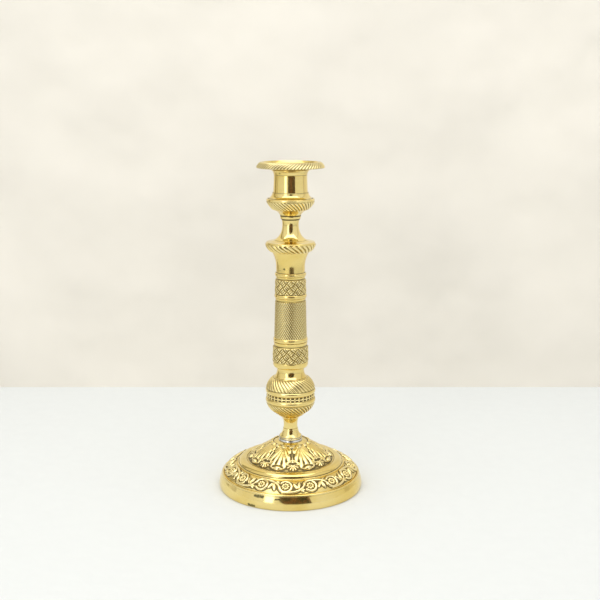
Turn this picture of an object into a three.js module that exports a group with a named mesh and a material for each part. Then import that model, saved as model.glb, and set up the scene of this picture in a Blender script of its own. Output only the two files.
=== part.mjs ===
// Brass candlestick: a stack of turned and cast sections clamped on a central iron tie rod,
// standing on a hollow cast base, with a drip pan that lifts out of the candle socket.
//
// Millimetres, +Z up. The origin is the centre of the base's bottom rim, on the table.
import * as THREE from 'three';

// ---------------------------------------------------------------------------------------------
// Driving dimensions
// ---------------------------------------------------------------------------------------------
const BASE_RADIUS = 65; // outer radius of the foot of the plinth
const CANDLE_RADIUS = 11; // a standard 22 mm candle
const CANDLE_PLAY = 0.4; // room around the candle in its sleeve
const ROD_RADIUS = 3; // M6 tie rod
const BORE_RADIUS = ROD_RADIUS + 0.4; // clearance hole for the rod in every section
const SEAT_GAP = 0.1; // room between the loose drip pan and the parts it sits in
const FIT_GAP = 0.35; // radial room between a spigot and its socket

// Heights of the joints between the stacked sections, from the table up.
const JOINT = {
  table: 0,
  baseTop: 42.5,
  washerTop: 46,
  footTop: 54,
  spoolTop: 64.5,
  ballTop: 102,
  knopNeckTop: 110.4,
  columnTop: 197,
  capitalTop: 215.2,
  flangeTop: 225.2,
  neckTop: 243.5,
  collarTop: 246.5,
  bowlTop: 267,
  socketLip: 286,
};

const SOCKET_FLOOR = 258; // bottom of the hollow in the socket bowl
const SLEEVE_BOTTOM = 262.5; // lower end of the drip pan's sleeve, clear of the rod's head
const COLUMN_BORE = 10.4; // inside radius of the hollow column
const SPIGOT_LENGTH = 3.5; // how far a register spigot enters the column

const SLEEVE_INNER = CANDLE_RADIUS + CANDLE_PLAY;
const SLEEVE_OUTER = SLEEVE_INNER + 0.65;
const SOCKET_BORE = SLEEVE_OUTER + FIT_GAP;

const LATHE_SEGMENTS = 32;
const CURVE_STEPS = 3;

// ---------------------------------------------------------------------------------------------
// Materials
// ---------------------------------------------------------------------------------------------
const FINISH = {
  polished: { color: 0xe3bf62, roughness: 0.2, metalness: 1 },
  chased: { color: 0xcda64f, roughness: 0.38, metalness: 1 },
  whiteMetal: { color: 0xc9c8c2, roughness: 0.25, metalness: 1 },
  iron: { color: 0x6d6a66, roughness: 0.55, metalness: 1 },
};

// ---------------------------------------------------------------------------------------------
// Building blocks
// ---------------------------------------------------------------------------------------------
const candlestick = new THREE.Group();

function addPart(name, geometry, finish) {
  const mesh = new THREE.Mesh(geometry, new THREE.MeshStandardMaterial(finish));
  mesh.name = name;
  candlestick.add(mesh);
}

// Starts an outline in the (radius, height) half-plane. Every outline runs out along the bottom,
// up the outside, in over the top and down the inside.
function outlineFrom(radius, height) {
  const path = new THREE.Path();
  path.moveTo(radius, height);
  return path;
}

// Spins an outline about +Z. It starts and ends on the axis, or is closed on itself.
function addSpun(name, finish, outline) {
  const geometry = new THREE.LatheGeometry(outline.getPoints(CURVE_STEPS), LATHE_SEGMENTS);
  geometry.rotateX(Math.PI / 2);
  addPart(name, geometry, finish);
}

// Spins a hollow section, whose outline is closed here.
function addTurned(name, finish, outline) {
  outline.closePath();
  addSpun(name, finish, outline);
}

// A half-round moulding of the given bulge, from where the outline is up to (radius, top).
function addHalfRound(outline, radius, bottom, top, bulge) {
  const middle = (bottom + top) / 2;
  outline.quadraticCurveTo(radius + bulge, bottom, radius + bulge, middle);
  outline.quadraticCurveTo(radius + bulge, top, radius, top);
}

// ---------------------------------------------------------------------------------------------
// Base: a hollow cast shell, open underneath, and the white-metal washer on top of it
// ---------------------------------------------------------------------------------------------
function addBaseShell() {
  const plinth = { innerRadius: 60.6, footRadius: BASE_RADIUS - 0.9, widest: 3.6 };
  const plinthTop = { radius: 62.6, height: 12.2, innerHeight: 10.5 };
  const rim = { radius: 61.4, height: 13.4 };
  const frieze = { innerRadius: 48.4, top: 21.9, bulgeRadius: 56.2, bulgeHeight: 19.9 };
  const torus = { outerRadius: 48, bottom: 22.7, innerRadius: 38.5, top: 25.4 };
  const seat = { radius: 12.2, shoulderRadius: 13, shoulder: 42.3, underside: 38, bossRadius: 11 };
  const domeControls = [[33, 31], [22, 38]];
  const innerDomeControls = [[20, 35.5], [30.5, 28.5]];
  const inside = { corner: [59, 12.5], knee: [46, 20.8], domeFoot: [36.5, 22.8] };

  const outline = outlineFrom(plinth.innerRadius, JOINT.table);
  outline.lineTo(plinth.footRadius, JOINT.table);
  outline.quadraticCurveTo(BASE_RADIUS, 0.6, BASE_RADIUS, plinth.widest);
  outline.quadraticCurveTo(plinth.footRadius, 8.2, plinthTop.radius, plinthTop.height);
  outline.quadraticCurveTo(plinthTop.radius, rim.height, rim.radius, rim.height);
  outline.quadraticCurveTo(frieze.bulgeRadius, frieze.bulgeHeight, frieze.innerRadius, frieze.top);
  outline.lineTo(torus.outerRadius, torus.bottom);
  outline.quadraticCurveTo(torus.outerRadius - 3.5, torus.top - 0.2, torus.innerRadius + 2, torus.top);
  outline.lineTo(torus.innerRadius, torus.top);
  outline.bezierCurveTo(...domeControls.flat(), seat.shoulderRadius, seat.shoulder);
  outline.lineTo(seat.radius, JOINT.baseTop);
  outline.lineTo(BORE_RADIUS, JOINT.baseTop);
  outline.lineTo(BORE_RADIUS, seat.underside);
  outline.lineTo(seat.bossRadius, seat.underside);
  outline.bezierCurveTo(...innerDomeControls.flat(), ...inside.domeFoot);
  outline.lineTo(...inside.knee);
  outline.lineTo(...inside.corner);
  outline.lineTo(plinth.innerRadius, plinthTop.innerHeight);
  addTurned('base_shell', FINISH.chased, outline);
}

function addFootWasher() {
  const radius = 10.7;
  const hollow = 0.6;
  const outline = outlineFrom(BORE_RADIUS, JOINT.baseTop);
  outline.lineTo(radius, JOINT.baseTop);
  outline.quadraticCurveTo(radius - hollow, (JOINT.baseTop + JOINT.washerTop) / 2, radius, JOINT.washerTop);
  outline.lineTo(BORE_RADIUS, JOINT.washerTop);
  addTurned('foot_washer', FINISH.whiteMetal, outline);
}

// ---------------------------------------------------------------------------------------------
// Lower stem: foot, spool, ball knop and the neck above it
// ---------------------------------------------------------------------------------------------
function addStemFoot() {
  const rim = { radius: 10, top: 46.9 };
  const throat = { radius: 6.7, control: [7, 49] };
  const outline = outlineFrom(BORE_RADIUS, JOINT.washerTop);
  outline.lineTo(rim.radius, JOINT.washerTop);
  outline.lineTo(rim.radius, rim.top);
  outline.quadraticCurveTo(...throat.control, throat.radius, JOINT.footTop);
  outline.lineTo(BORE_RADIUS, JOINT.footTop);
  addTurned('stem_foot', FINISH.polished, outline);
}

function addFootSpool() {
  const bottomRadius = 6.4;
  const waist = { radius: 6.2, height: 58 };
  const flareControl = [6.5, 61];
  const topRadius = 8.2;
  const outline = outlineFrom(BORE_RADIUS, JOINT.footTop);
  outline.lineTo(bottomRadius, JOINT.footTop);
  outline.lineTo(waist.radius, waist.height);
  outline.quadraticCurveTo(...flareControl, topRadius, JOINT.spoolTop);
  outline.lineTo(BORE_RADIUS, JOINT.spoolTop);
  addTurned('foot_spool', FINISH.polished, outline);
}

function addBallKnop() {
  const belt = { radius: 21.8, bottom: 82.8, top: 87.5 };
  const fillet = { radius: 22.4, height: 3.5, chamfer: 0.6 };
  const cavity = { radius: 18.9, bottom: 84, top: 88 };
  const web = { bottom: 68.5, top: 99 };
  const poleRadius = { bottom: 8.2, top: 14.9 };
  const lowerControl = [19, 69.8];
  const upperControl = [20.6, 98.2];

  const outline = outlineFrom(BORE_RADIUS, JOINT.spoolTop);
  outline.lineTo(poleRadius.bottom, JOINT.spoolTop);
  outline.quadraticCurveTo(...lowerControl, belt.radius, belt.bottom - fillet.height - fillet.chamfer);
  outline.lineTo(fillet.radius, belt.bottom - fillet.height);
  outline.lineTo(fillet.radius, belt.bottom - fillet.chamfer);
  outline.lineTo(belt.radius, belt.bottom);
  outline.lineTo(belt.radius, belt.top);
  outline.lineTo(fillet.radius, belt.top + fillet.chamfer);
  outline.lineTo(fillet.radius, belt.top + fillet.height);
  outline.lineTo(belt.radius, belt.top + fillet.height + fillet.chamfer);
  outline.quadraticCurveTo(...upperControl, poleRadius.top, JOINT.ballTop);
  outline.lineTo(BORE_RADIUS, JOINT.ballTop);
  outline.lineTo(BORE_RADIUS, web.top);
  outline.lineTo(poleRadius.top - 3, web.top);
  outline.quadraticCurveTo(cavity.radius, web.top - 2.5, cavity.radius, cavity.top);
  outline.lineTo(cavity.radius, cavity.bottom);
  outline.quadraticCurveTo(cavity.radius, web.bottom + 6, poleRadius.bottom, web.bottom);
  outline.lineTo(BORE_RADIUS, web.bottom);
  addTurned('ball_knop', FINISH.chased, outline);
}

function addKnopNeck() {
  const bottomRadius = 14.4;
  const topRadius = 11.7;
  const coveControl = [12.5, 105];
  const spigotRadius = COLUMN_BORE - FIT_GAP;
  const outline = outlineFrom(BORE_RADIUS, JOINT.ballTop);
  outline.lineTo(bottomRadius, JOINT.ballTop);
  outline.quadraticCurveTo(...coveControl, topRadius, JOINT.knopNeckTop);
  outline.lineTo(spigotRadius, JOINT.knopNeckTop);
  outline.lineTo(spigotRadius, JOINT.knopNeckTop + SPIGOT_LENGTH);
  outline.lineTo(BORE_RADIUS, JOINT.knopNeckTop + SPIGOT_LENGTH);
  addTurned('knop_neck', FINISH.polished, outline);
}

// ---------------------------------------------------------------------------------------------
// Column: one hollow casting with two woven bands, a hatched barrel and three half-round rings
// ---------------------------------------------------------------------------------------------
function addColumn() {
  const footMoulding = { startRadius: 11.9, radius: 15.75, height: 4.2, top: 116.3 };
  const lowerWeave = { bottomRadius: 15.75, topRadius: 15.35, top: 130.4 };
  const lowerFillet = { radius: 15, top: 134.3 };
  const lowerRing = { radius: 14.6, bottom: 134.6, top: 138.2, bulge: 0.75 };
  const barrel = { topRadius: 13.65, top: 171.6 };
  const middleRing = { radius: 13.65, bottom: 174.3, top: 177.4, bulge: 0.7 };
  const upperWeave = { radius: 13.2, top: 190.9 };
  const upperRing = { radius: 13.2, bottom: 193.5, top: 196.6, bulge: 0.75 };

  const outline = outlineFrom(COLUMN_BORE, JOINT.knopNeckTop);
  outline.lineTo(footMoulding.startRadius, JOINT.knopNeckTop);
  outline.quadraticCurveTo(
    footMoulding.radius, JOINT.knopNeckTop,
    footMoulding.radius, JOINT.knopNeckTop + footMoulding.height,
  );
  outline.lineTo(lowerWeave.bottomRadius, footMoulding.top);
  outline.lineTo(lowerWeave.topRadius, lowerWeave.top);
  outline.lineTo(lowerFillet.radius, lowerFillet.top);
  outline.lineTo(lowerRing.radius, lowerRing.bottom);
  addHalfRound(outline, lowerRing.radius, lowerRing.bottom, lowerRing.top, lowerRing.bulge);
  outline.lineTo(barrel.topRadius, barrel.top);
  outline.lineTo(middleRing.radius, middleRing.bottom);
  addHalfRound(outline, middleRing.radius, middleRing.bottom, middleRing.top, middleRing.bulge);
  outline.lineTo(upperWeave.radius, upperWeave.top);
  outline.lineTo(upperRing.radius, upperRing.bottom);
  addHalfRound(outline, upperRing.radius, upperRing.bottom, upperRing.top, upperRing.bulge);
  outline.lineTo(upperRing.radius, JOINT.columnTop);
  outline.lineTo(COLUMN_BORE, JOINT.columnTop);
  addTurned('column', FINISH.chased, outline);
}

// ---------------------------------------------------------------------------------------------
// Upper stem: capital, gadrooned flange, neck spool and collar
// ---------------------------------------------------------------------------------------------
function addCapital() {
  const spigotRadius = COLUMN_BORE - FIT_GAP;
  const neck = { radius: 12.7, top: 201 };
  const flare = { control: [12.9, 211.2], radius: 16.8 };
  const outline = outlineFrom(BORE_RADIUS, JOINT.columnTop - SPIGOT_LENGTH);
  outline.lineTo(spigotRadius, JOINT.columnTop - SPIGOT_LENGTH);
  outline.lineTo(spigotRadius, JOINT.columnTop);
  outline.lineTo(neck.radius, JOINT.columnTop);
  outline.lineTo(neck.radius, neck.top);
  outline.quadraticCurveTo(...flare.control, flare.radius, JOINT.capitalTop);
  outline.lineTo(BORE_RADIUS, JOINT.capitalTop);
  addTurned('capital', FINISH.polished, outline);
}

function addCapitalFlange() {
  const bottomRadius = 16.8;
  const flareControl = [21.2, 218];
  const rim = { radius: 21.8, bottom: 221.6, top: 223.4 };
  const shoulder = { radius: 20.4, height: 223.8 };
  const seatRadius = 14.6;
  const outline = outlineFrom(BORE_RADIUS, JOINT.capitalTop);
  outline.lineTo(bottomRadius, JOINT.capitalTop);
  outline.quadraticCurveTo(...flareControl, rim.radius, rim.bottom);
  outline.quadraticCurveTo(rim.radius, rim.top, shoulder.radius, shoulder.height);
  outline.lineTo(seatRadius, JOINT.flangeTop);
  outline.lineTo(BORE_RADIUS, JOINT.flangeTop);
  addTurned('capital_flange', FINISH.chased, outline);
}

function addNeckSpool() {
  const bottomRadius = 14.2;
  const waist = { radius: 7.2, controlHeight: 229.2, height: 238.5 };
  const topRadius = 8;
  const outline = outlineFrom(BORE_RADIUS, JOINT.flangeTop);
  outline.lineTo(bottomRadius, JOINT.flangeTop);
  outline.quadraticCurveTo(waist.radius, waist.controlHeight, waist.radius, waist.height);
  outline.lineTo(topRadius, JOINT.neckTop);
  outline.lineTo(BORE_RADIUS, JOINT.neckTop);
  addTurned('neck_spool', FINISH.polished, outline);
}

function addSocketCollar() {
  const radius = 9.1;
  const edge = 0.6;
  const outline = outlineFrom(BORE_RADIUS, JOINT.neckTop);
  outline.lineTo(radius - edge, JOINT.neckTop);
  outline.lineTo(radius, JOINT.neckTop + edge);
  outline.lineTo(radius, JOINT.collarTop);
  outline.lineTo(BORE_RADIUS, JOINT.collarTop);
  addTurned('socket_collar', FINISH.polished, outline);
}

// ---------------------------------------------------------------------------------------------
// Candle socket: gadrooned bowl and the barrel that plugs into it
// ---------------------------------------------------------------------------------------------
function addSocketBowl() {
  const bottomRadius = 8.9;
  const plainCone = { radius: 15.2, top: 252 };
  const brim = { control: [19.6, 256], radius: 21.1, height: 260, topRadius: 20, top: 261.7 };
  const cove = { radius: 15.6, control: [16.2, 262.8] };
  const cavityRadius = SOCKET_BORE + 1.2 + FIT_GAP;
  const outline = outlineFrom(BORE_RADIUS, JOINT.collarTop);
  outline.lineTo(bottomRadius, JOINT.collarTop);
  outline.lineTo(plainCone.radius, plainCone.top);
  outline.quadraticCurveTo(...brim.control, brim.radius, brim.height);
  outline.lineTo(brim.topRadius, brim.top);
  outline.quadraticCurveTo(...cove.control, cove.radius, JOINT.bowlTop);
  outline.lineTo(cavityRadius, JOINT.bowlTop);
  outline.lineTo(cavityRadius, SOCKET_FLOOR);
  outline.lineTo(BORE_RADIUS, SOCKET_FLOOR);
  addTurned('socket_bowl', FINISH.chased, outline);
}

function addSocketBarrel() {
  const spigotRadius = SOCKET_BORE + 1.2;
  const bottomRadius = 15.5;
  const waist = { radius: 14.5, bottom: 279, top: 282, control: [14.7, 273] };
  const lip = { radius: 16.5, control: [14.8, 284.6] };
  const mouth = { radius: SOCKET_BORE + 0.5, depth: 0.7 };
  const outline = outlineFrom(SOCKET_BORE, SOCKET_FLOOR + FIT_GAP);
  outline.lineTo(spigotRadius, SOCKET_FLOOR + FIT_GAP);
  outline.lineTo(spigotRadius, JOINT.bowlTop);
  outline.lineTo(bottomRadius, JOINT.bowlTop);
  outline.quadraticCurveTo(...waist.control, waist.radius, waist.bottom);
  outline.lineTo(waist.radius, waist.top);
  outline.quadraticCurveTo(...lip.control, lip.radius, JOINT.socketLip);
  outline.lineTo(mouth.radius, JOINT.socketLip);
  outline.lineTo(SOCKET_BORE, JOINT.socketLip - mouth.depth);
  addTurned('socket_barrel', FINISH.polished, outline);
}

// ---------------------------------------------------------------------------------------------
// Drip pan and its candle sleeve, one loose assembly
// ---------------------------------------------------------------------------------------------
function addDripPan() {
  const seat = JOINT.socketLip + SEAT_GAP;
  const underside = { innerRadius: 17, innerHeight: seat + 0.1, radius: 28.9, height: 287.6 };
  const rim = { radius: 29.7, bottom: 288.1, control: [28.8, 291], topRadius: 25.7, top: 293 };
  const dish = { radius: 24.7, control: [23.7, 290.2] };
  const floor = { outerRadius: 21, outerHeight: 289.6, flatRadius: 15, height: 288.2 };
  const holeRadius = SLEEVE_OUTER + FIT_GAP;
  const outline = outlineFrom(holeRadius, seat);
  outline.lineTo(underside.innerRadius, underside.innerHeight);
  outline.lineTo(underside.radius, underside.height);
  outline.lineTo(rim.radius, rim.bottom);
  outline.quadraticCurveTo(...rim.control, rim.topRadius, rim.top);
  outline.lineTo(dish.radius, rim.top);
  outline.quadraticCurveTo(...dish.control, floor.outerRadius, floor.outerHeight);
  outline.lineTo(floor.flatRadius, floor.height);
  outline.lineTo(holeRadius, floor.height);
  addTurned('drip_pan', FINISH.chased, outline);
}

function addDripPanSleeve() {
  const flange = { radius: 14, bottom: 288.2 + SEAT_GAP, thickness: 0.7 };
  const outline = outlineFrom(SLEEVE_INNER, SLEEVE_BOTTOM);
  outline.lineTo(SLEEVE_OUTER, SLEEVE_BOTTOM);
  outline.lineTo(SLEEVE_OUTER, flange.bottom);
  outline.lineTo(flange.radius, flange.bottom);
  outline.lineTo(flange.radius, flange.bottom + flange.thickness);
  outline.lineTo(SLEEVE_INNER + 0.4, flange.bottom + flange.thickness);
  outline.lineTo(SLEEVE_INNER, flange.bottom);
  addTurned('drip_pan_sleeve', FINISH.polished, outline);
}

// ---------------------------------------------------------------------------------------------
// Fastening: a headed iron rod through the whole stem, with a washer and nut under the base
// ---------------------------------------------------------------------------------------------
const WASHER = { radius: 9.5, top: 38, thickness: 1.8 };
const NUT = { acrossFlats: 10, thickness: 5.2 };

function addTieRod() {
  const head = { radius: 6.5, height: 3.2, chamfer: 0.7 };
  const tail = { bottom: 29, chamfer: 0.5 };
  const outline = outlineFrom(0, tail.bottom);
  outline.lineTo(ROD_RADIUS - tail.chamfer, tail.bottom);
  outline.lineTo(ROD_RADIUS, tail.bottom + tail.chamfer);
  outline.lineTo(ROD_RADIUS, SOCKET_FLOOR);
  outline.lineTo(head.radius, SOCKET_FLOOR);
  outline.lineTo(head.radius, SOCKET_FLOOR + head.height - head.chamfer);
  outline.lineTo(head.radius - head.chamfer, SOCKET_FLOOR + head.height);
  outline.lineTo(0, SOCKET_FLOOR + head.height);
  addSpun('tie_rod', FINISH.iron, outline);
}

function addRodWasher() {
  const bottom = WASHER.top - WASHER.thickness;
  const outline = outlineFrom(BORE_RADIUS, bottom);
  outline.lineTo(WASHER.radius, bottom);
  outline.lineTo(WASHER.radius, WASHER.top);
  outline.lineTo(BORE_RADIUS, WASHER.top);
  addTurned('rod_washer', FINISH.iron, outline);
}

function addRodNut() {
  const cornerRadius = NUT.acrossFlats / 2 / Math.cos(Math.PI / 6);
  const hexagon = new THREE.Shape();
  for (let corner = 0; corner < 6; corner += 1) {
    const angle = (corner * Math.PI) / 3;
    const x = cornerRadius * Math.cos(angle);
    const y = cornerRadius * Math.sin(angle);
    if (corner === 0) hexagon.moveTo(x, y);
    else hexagon.lineTo(x, y);
  }
  const hole = new THREE.Path();
  hole.absarc(0, 0, BORE_RADIUS, 0, 2 * Math.PI, true);
  hexagon.holes.push(hole);
  const geometry = new THREE.ExtrudeGeometry(hexagon, {
    depth: NUT.thickness,
    bevelEnabled: false,
    curveSegments: LATHE_SEGMENTS / 2,
  });
  geometry.translate(0, 0, WASHER.top - WASHER.thickness - NUT.thickness);
  addPart('rod_nut', geometry, FINISH.iron);
}

addBaseShell();
addFootWasher();
addStemFoot();
addFootSpool();
addBallKnop();
addKnopNeck();
addColumn();
addCapital();
addCapitalFlange();
addNeckSpool();
addSocketCollar();
addSocketBowl();
addSocketBarrel();
addDripPan();
addDripPanSleeve();
addTieRod();
addRodWasher();
addRodNut();

export default candlestick;
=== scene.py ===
from collections import namedtuple
import math

import bpy
import numpy as np
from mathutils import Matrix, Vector


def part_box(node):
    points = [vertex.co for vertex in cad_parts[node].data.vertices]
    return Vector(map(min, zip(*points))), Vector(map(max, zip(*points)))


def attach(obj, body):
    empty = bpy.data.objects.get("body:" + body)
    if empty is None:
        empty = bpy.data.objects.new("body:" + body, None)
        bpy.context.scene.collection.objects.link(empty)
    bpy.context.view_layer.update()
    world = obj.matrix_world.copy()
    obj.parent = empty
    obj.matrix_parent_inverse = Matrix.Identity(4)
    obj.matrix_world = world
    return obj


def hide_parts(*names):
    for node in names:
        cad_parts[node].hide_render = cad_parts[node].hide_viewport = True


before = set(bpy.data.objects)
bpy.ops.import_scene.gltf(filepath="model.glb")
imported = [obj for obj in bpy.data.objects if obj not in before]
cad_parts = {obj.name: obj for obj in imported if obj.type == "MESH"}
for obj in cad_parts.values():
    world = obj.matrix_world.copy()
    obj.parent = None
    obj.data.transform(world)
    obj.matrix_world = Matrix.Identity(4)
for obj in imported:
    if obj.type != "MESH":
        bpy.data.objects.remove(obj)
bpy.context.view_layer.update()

# Everything below is drawn in millimetres and turned into metres when a mesh is made.
MM = 0.001
TAU = 2 * math.pi

# ------------------------------------------------------------------ turning

OUTLINE_STEP = 0.05      # spacing at which an outline is first sampled
EDGE_SOFTENING = 0.11    # how far a turned edge is worn round
GROOVE_REACH = 0.45      # how wide a corner holds dark polish residue
GROOVE_DEPTH = 0.12
EDGE_SHINE = 0.3         # the most that an outer edge is brightened
CORNER_DIRT = 0.9        # the most that an inner corner is darkened
DARK_LINE_STRENGTH = 1.6
CHASED_PITCH = 0.25      # rows of points in a chased zone
PLAIN_PITCH = 1.5
INNER_PITCH = 5.0
TURN_LIMIT = math.radians(7)
INNER_TURN_LIMIT = math.radians(24)
DARK_LINE_REACH = 0.34        # how far a dark line spreads, both joint lines and lines of painted shade
CURVE_STEPS = 24
ON_AXIS = 0.12           # rows nearer the axis than this are drawn together into one point

PLAIN = "plain"
INNER = "inner"


class Path:
    """A cross-section of (radius, height) points, up the outside and then down the inside.

    Heights are measured from the level that `above` names.
    """

    def __init__(self, r, z, above=0.0):
        self.above = above
        self.points = [(r, z)]
        self.zones = []
        self.zone = PLAIN
        self.dark_lines = []

    def line(self, *points):
        for point in points:
            self.points.append(point)
            self.zones.append(self.zone)
        return self

    def curve(self, control, end):
        (r0, z0), (r1, z1), (r2, z2) = self.points[-1], control, end
        for step in range(1, CURVE_STEPS + 1):
            t = step / CURVE_STEPS
            a, b, c = (1 - t) ** 2, 2 * t * (1 - t), t * t
            self.line((a * r0 + b * r1 + c * r2, a * z0 + b * z1 + c * z2))
        return self

    def cubic(self, first, second, end):
        corners = np.array([self.points[-1], first, second, end])
        for step in range(1, CURVE_STEPS + 1):
            t = step / CURVE_STEPS
            weights = np.array([(1 - t) ** 3, 3 * t * (1 - t) ** 2, 3 * t * t * (1 - t), t ** 3])
            self.line(tuple(weights @ corners))
        return self

    def into(self, zone):
        self.zone = zone
        return self

    def seam(self, strength=0.5, reach=DARK_LINE_REACH):
        """A dark line at the last point: mostly a joint line, and at the bowl's brim and under the base's
        torus, painted shade.
        """
        self.dark_lines.append((self.points[-1], strength, reach))
        return self


def soften(points, reach):
    """A closed outline with its corners rounded by a Gaussian of that reach."""
    turns = np.fft.fftfreq(len(points), d=OUTLINE_STEP) * TAU
    keep = np.exp(-0.5 * (turns * reach) ** 2)[:, None]
    return np.real(np.fft.ifft(np.fft.fft(points, axis=0) * keep, axis=0))


def outline_rows(path):
    """The rows of a turned piece: radius, height, normal, zone and wear with painted shade, from -1 dark
    to 1 bright.
    """
    lift = np.array([0.0, path.above])
    corners = np.array(path.points + path.points[:1]) + lift
    zones = np.array(path.zones + [INNER])
    along = np.concatenate([[0], np.cumsum(np.hypot(*np.diff(corners, axis=0).T))])
    count = int(along[-1] / OUTLINE_STEP)
    at = np.arange(count) * along[-1] / count
    sharp = np.column_stack([np.interp(at, along, corners[:, k]) for k in (0, 1)])
    zone = zones[np.searchsorted(along, at, side="right") - 1]

    points = soften(sharp, EDGE_SOFTENING)
    tangent = np.roll(points, -1, axis=0) - np.roll(points, 1, axis=0)
    tangent /= np.hypot(*tangent.T)[:, None]
    normal = np.column_stack([tangent[:, 1], -tangent[:, 0]])
    heading = np.unwrap(np.arctan2(tangent[:, 1], tangent[:, 0]))

    sunk = ((soften(sharp, GROOVE_REACH) - points) * normal).sum(axis=1)
    wear_and_shade = -np.clip(sunk / GROOVE_DEPTH, -EDGE_SHINE, CORNER_DIRT)
    # Dark lines: joint lines, and a few lines of painted shade.
    for place, strength, reach in path.dark_lines:
        away = np.hypot(*(points - place - lift).T)
        wear_and_shade -= DARK_LINE_STRENGTH * strength * np.exp(-(away / reach) ** 2)

    kept = [0]
    for i in range(1, count):
        gone = (i - kept[-1]) * OUTLINE_STEP
        turned = abs(heading[i] - heading[kept[-1]])
        here = zone[i]
        if here == INNER:
            due = gone >= INNER_PITCH or turned > INNER_TURN_LIMIT
        elif here == PLAIN:
            due = gone >= PLAIN_PITCH or turned > TURN_LIMIT
        else:
            due = gone >= CHASED_PITCH - 1e-6
        if due or here != zone[kept[-1]]:
            kept.append(i)
    return points[kept], normal[kept], zone[kept], wear_and_shade[kept]


WEAR_DEPTH = 0.3         # share of a zone's full height that counts as fully worn or fully dark
GROUND_LEVEL = 0.3       # share of a zone's full height below which it is ground

# Ornament on a zone: its relief, how wide its hollows hold residue, how strongly, and how dull
# its ground is.
Chasing = namedtuple("Chasing", "relief reach strength ground", defaults=(1.0, 0.0))


def unevenness(height, radius, reach):
    """How far each point of a zone stands above (1) or lies below (-1) what is within reach."""
    rows, columns = height.shape
    order = np.arange(columns // 2 + 1)[None, :]
    keep = np.exp(-0.5 * (order * reach / radius[:, None]) ** 2)
    blurred = np.fft.irfft(np.fft.rfft(height, axis=1) * keep, n=columns, axis=1)
    gap = (np.arange(rows)[:, None] - np.arange(rows)[None, :]) * CHASED_PITCH
    weight = np.exp(-0.5 * (gap / reach) ** 2)
    blurred = weight @ blurred / weight.sum(axis=1)[:, None]
    return np.clip((height - blurred) / (WEAR_DEPTH * np.ptp(height)), -1, 1)


def make_mesh(name, vertices, quads, triangles, wear_and_shade, material_index):
    mesh = bpy.data.meshes.new(name)
    mesh.vertices.add(len(vertices))
    mesh.vertices.foreach_set("co", (vertices * MM).astype(np.float32).ravel())
    corners = np.concatenate([quads.ravel(), triangles.ravel()]).astype(np.int32)
    starts = np.concatenate([
        np.arange(len(quads)) * 4,
        len(quads) * 4 + np.arange(len(triangles)) * 3,
    ])
    mesh.loops.add(len(corners))
    mesh.loops.foreach_set("vertex_index", corners)
    mesh.polygons.add(len(starts))
    mesh.polygons.foreach_set("loop_start", starts.astype(np.int32))
    mesh.polygons.foreach_set("material_index", material_index.astype(np.int32))
    mesh.update(calc_edges=True)
    mesh.shade_smooth()
    mesh.attributes.new("wear_and_shade", "FLOAT", "POINT").data.foreach_set("value", wear_and_shade.astype(np.float32))
    return mesh


def turned(name, path, materials, node, columns=256, reliefs=None, body="stick",
           slot="polished_brass"):
    """Turns the outline, with each named zone's relief standing out from it, as one closed mesh.

    Chased zones take the last of the materials, and everything else the first.
    """
    reliefs = reliefs or {}
    points, normal, zone, row_wear_and_shade = outline_rows(path)
    theta = np.arange(columns) * TAU / columns
    height = np.zeros((len(points), columns))
    wear_and_shade = np.repeat(row_wear_and_shade[:, None], columns, axis=1)
    for chased, chasing in reliefs.items():
        rows = np.flatnonzero(zone == chased)
        s = np.arange(len(rows)) * CHASED_PITCH
        radius = points[rows, 0]
        raised = chasing.relief(theta[None, :], s[:, None], s[-1], radius[:, None])
        height[rows] = raised
        wear_and_shade[rows] += chasing.strength * unevenness(raised, radius, chasing.reach)
        wear_and_shade[rows] -= chasing.ground * (1 - smooth(raised / np.ptp(raised), 0, GROUND_LEVEL))

    axis_rows = np.flatnonzero(points[:, 0] < ON_AXIS)
    solid = len(axis_rows) > 0
    order = np.arange(len(points))
    if solid:
        order = np.roll(order, -(axis_rows[-1] + 1))[: len(points) - len(axis_rows)]
    r = points[order, 0, None] + normal[order, 0, None] * height[order]
    z = points[order, 1, None] + normal[order, 1, None] * height[order]
    vertices = np.stack([r * np.sin(theta), -r * np.cos(theta), z], axis=2).reshape(-1, 3)

    rows = len(order)
    i = np.arange(rows - 1 if solid else rows)[:, None]
    j = np.arange(columns)[None, :]
    here, up = i * columns, (i + 1) % rows * columns
    right = (j + 1) % columns
    quads = np.stack([here + j, here + right, up + right, up + j], axis=2).reshape(-1, 4)
    is_chased = np.isin(zone[order], list(reliefs))[: len(i)]
    index = np.repeat(is_chased, columns) * (len(materials) - 1)
    triangles = np.zeros((0, 3), int)
    wear_and_shade = wear_and_shade[order].ravel()
    if solid:
        low, high = len(vertices), len(vertices) + 1
        ends = [[0, 0, z[0].mean()], [0, 0, z[-1].mean()]]
        vertices = np.concatenate([vertices, ends])
        wear_and_shade = np.concatenate([wear_and_shade, [0, 0]])
        ring = np.arange(columns)
        following = (ring + 1) % columns
        last = (rows - 1) * columns
        triangles = np.concatenate([
            np.stack([np.full(columns, low), following, ring], axis=1),
            np.stack([np.full(columns, high), last + ring, last + following], axis=1),
        ])
        index = np.concatenate([index, np.zeros(len(triangles))])
    mesh = make_mesh(name, vertices, quads, triangles, np.clip(wear_and_shade, -1, 1), index)
    for material in materials:
        mesh.materials.append(material)
    piece = bpy.data.objects.new(name, mesh)
    bpy.context.scene.collection.objects.link(piece)
    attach(piece, body)
    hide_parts(node)
    return piece


def measure(node):
    """The level of a CAD node's underside, its height and its outer radius, in millimetres."""
    low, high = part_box(node)
    return low.z / MM, (high.z - low.z) / MM, high.x / MM


# ------------------------------------------------------------------ chasing

def smooth(x, low, high):
    t = np.clip((x - low) / (high - low), 0, 1)
    return t * t * (3 - 2 * t)


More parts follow.
